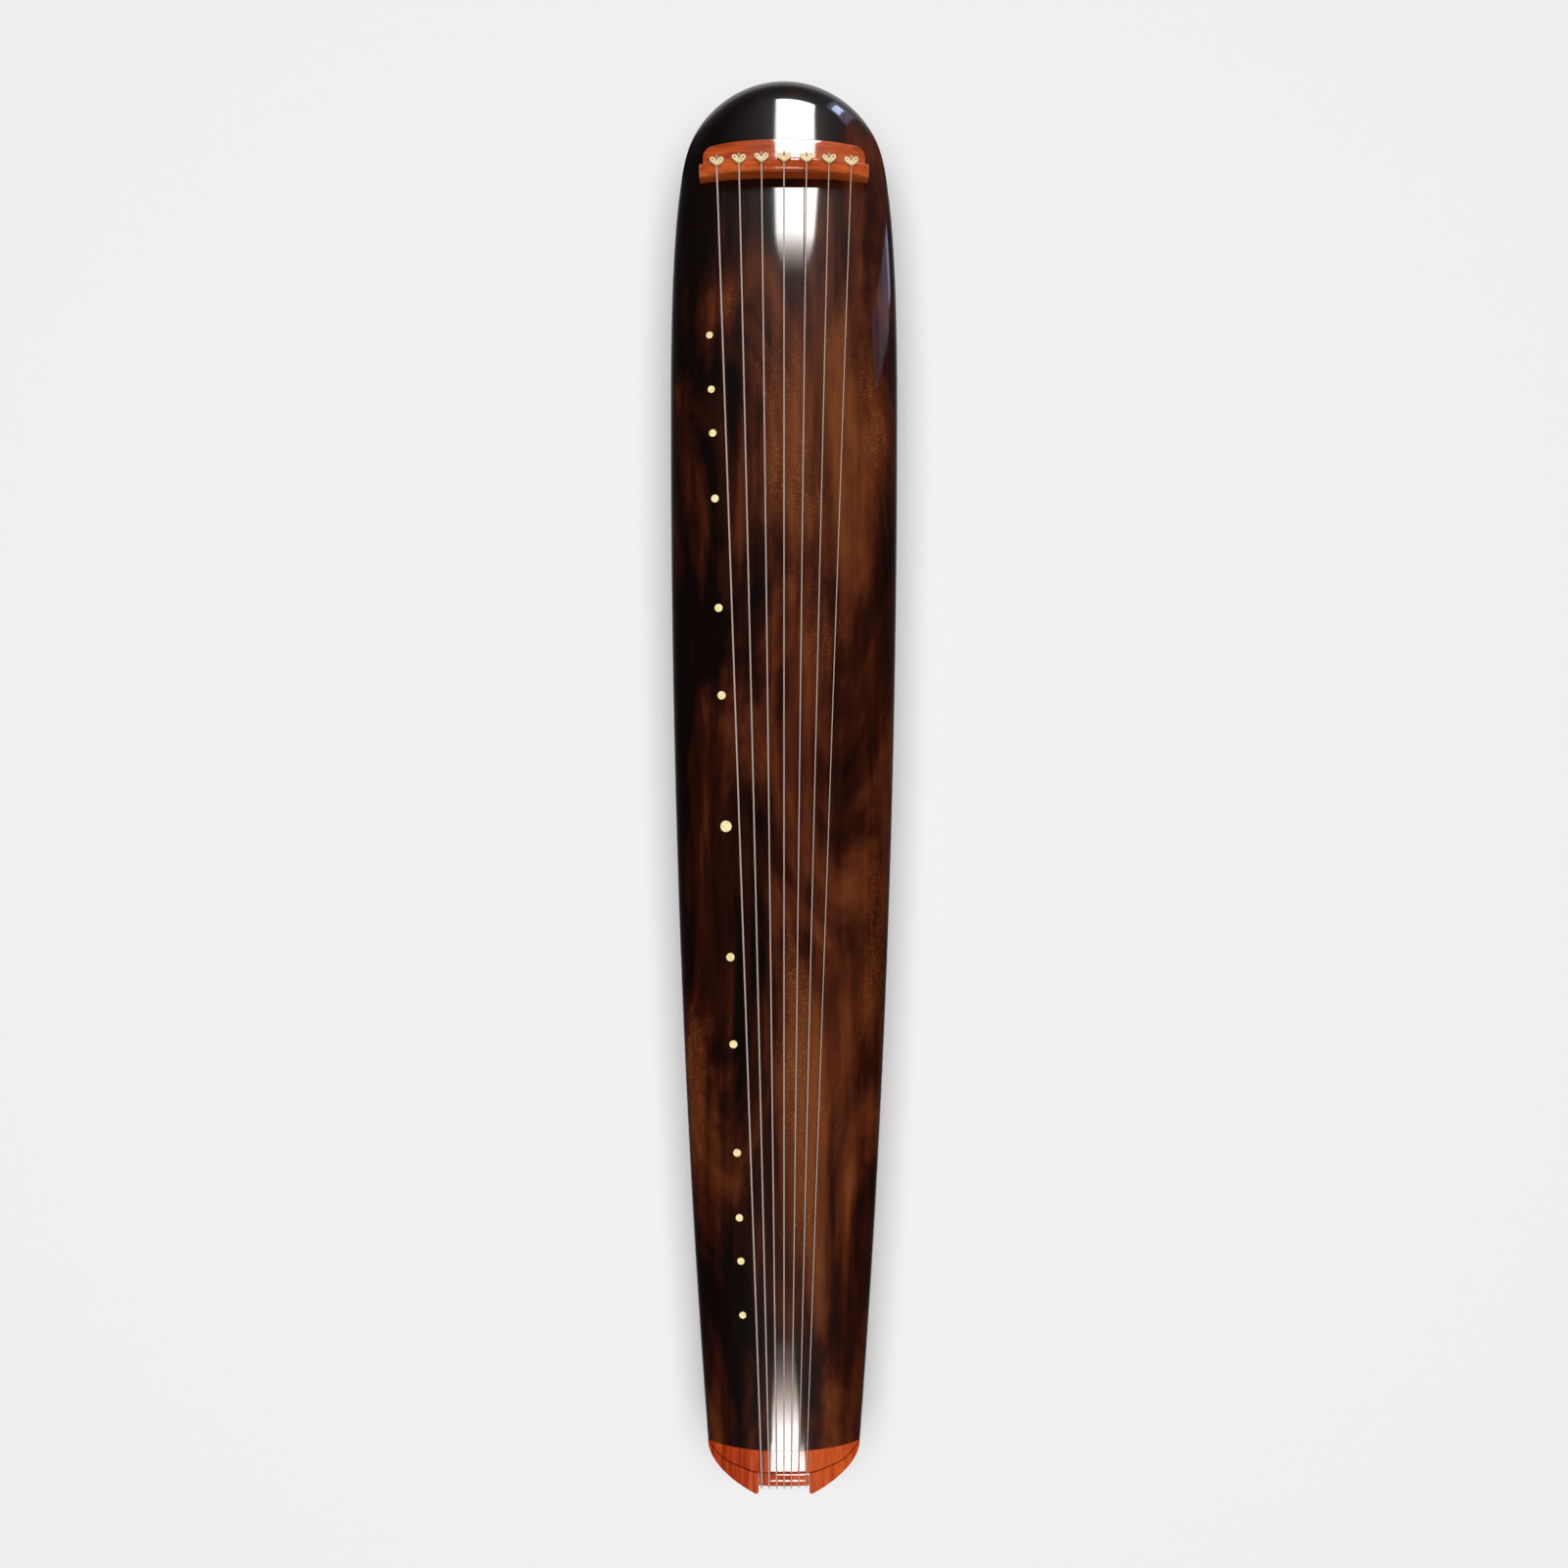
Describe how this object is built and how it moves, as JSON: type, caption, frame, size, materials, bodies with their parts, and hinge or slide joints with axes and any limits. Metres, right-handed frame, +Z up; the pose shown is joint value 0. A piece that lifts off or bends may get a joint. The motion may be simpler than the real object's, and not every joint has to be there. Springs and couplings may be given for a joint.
{
  "type": "guqin",
  "caption": "Long arched wooden zither with a hollow lacquered body, tuning pegs under the head, silk tassels, inlaid studs and strings wound on two turned feet.",
  "frame": {"origin": "on the surface that the feet stand on, below the middle of the body's length and width", "axes": "+Y along the body to the head, +Z up out of the playing face, -X to the side with the studs"},
  "size_m": [0.1974, 1.235, 0.0937],
  "materials": {
    "lacquer": "gloss lacquer",
    "bare_wood": "bare",
    "rosewood": "polished",
    "dark_wood": "polished",
    "shell": "polished",
    "string": "satin",
    "silk_cord": "silk",
    "silk_tassel": "silk",
    "bead": "polished",
    "turquoise": "polished"
  },
  "bodies": {
    "root": {"top_board": "lacquer", "bottom_board": "lacquer", "heaven_post": "bare_wood", "earth_post": "bare_wood", "tuning_plate": "rosewood", "bridge": "rosewood", "tail_nut": "rosewood", "crown_left": "rosewood", "crown_right": "rosewood", "gum_support": "rosewood", "goose_foot_left": "dark_wood", "goose_foot_right": "dark_wood", "peg_cord_1": "silk_cord", "peg_cord_2": "silk_cord", "peg_cord_3": "silk_cord", "peg_cord_4": "silk_cord", "peg_cord_5": "silk_cord", "peg_cord_6": "silk_cord", "peg_cord_7": "silk_cord", "string_1": "string", "string_2": "string", "string_3": "string", "string_4": "string", "string_5": "string", "string_6": "string", "string_7": "string", "hui_1": "shell", "hui_2": "shell", "hui_3": "shell", "hui_4": "shell", "hui_5": "shell", "hui_6": "shell", "hui_7": "shell", "hui_8": "shell", "hui_9": "shell", "hui_10": "shell", "hui_11": "shell", "hui_12": "shell", "hui_13": "shell", "tassel_cord_1": "silk_cord", "tassel_cord_2": "silk_cord", "tassel_cord_3": "silk_cord", "tassel_cord_4": "silk_cord", "tassel_cord_5": "silk_cord", "tassel_cord_6": "silk_cord", "tassel_cord_7": "silk_cord", "tassel_1": "silk_tassel", "tassel_2": "silk_tassel", "tassel_3": "silk_tassel", "tassel_4": "silk_tassel", "tassel_5": "silk_tassel", "tassel_6": "silk_tassel", "tassel_7": "silk_tassel"},
    "peg_1": {"peg_1": "dark_wood"},
    "peg_2": {"peg_2": "dark_wood"},
    "peg_3": {"peg_3": "dark_wood"},
    "peg_4": {"peg_4": "dark_wood"},
    "peg_5": {"peg_5": "dark_wood"},
    "peg_6": {"peg_6": "dark_wood"},
    "peg_7": {"peg_7": "dark_wood"}
  },
  "joints": [
    {"name": "peg_1_turn", "type": "hinge", "parent": "root", "child": "peg_1", "pos_m": [-0.057, 0.533, 0.0222], "axis": [0, 0, 1], "continuous": true},
    {"name": "peg_2_turn", "type": "hinge", "parent": "root", "child": "peg_2", "pos_m": [-0.038, 0.533, 0.0222], "axis": [0, 0, 1], "continuous": true},
    {"name": "peg_3_turn", "type": "hinge", "parent": "root", "child": "peg_3", "pos_m": [-0.019, 0.533, 0.0222], "axis": [0, 0, 1], "continuous": true},
    {"name": "peg_4_turn", "type": "hinge", "parent": "root", "child": "peg_4", "pos_m": [0, 0.533, 0.0222], "axis": [0, 0, 1], "continuous": true},
    {"name": "peg_5_turn", "type": "hinge", "parent": "root", "child": "peg_5", "pos_m": [0.019, 0.533, 0.0222], "axis": [0, 0, 1], "continuous": true},
    {"name": "peg_6_turn", "type": "hinge", "parent": "root", "child": "peg_6", "pos_m": [0.038, 0.533, 0.0222], "axis": [0, 0, 1], "continuous": true},
    {"name": "peg_7_turn", "type": "hinge", "parent": "root", "child": "peg_7", "pos_m": [0.057, 0.533, 0.0222], "axis": [0, 0, 1], "continuous": true}
  ]
}
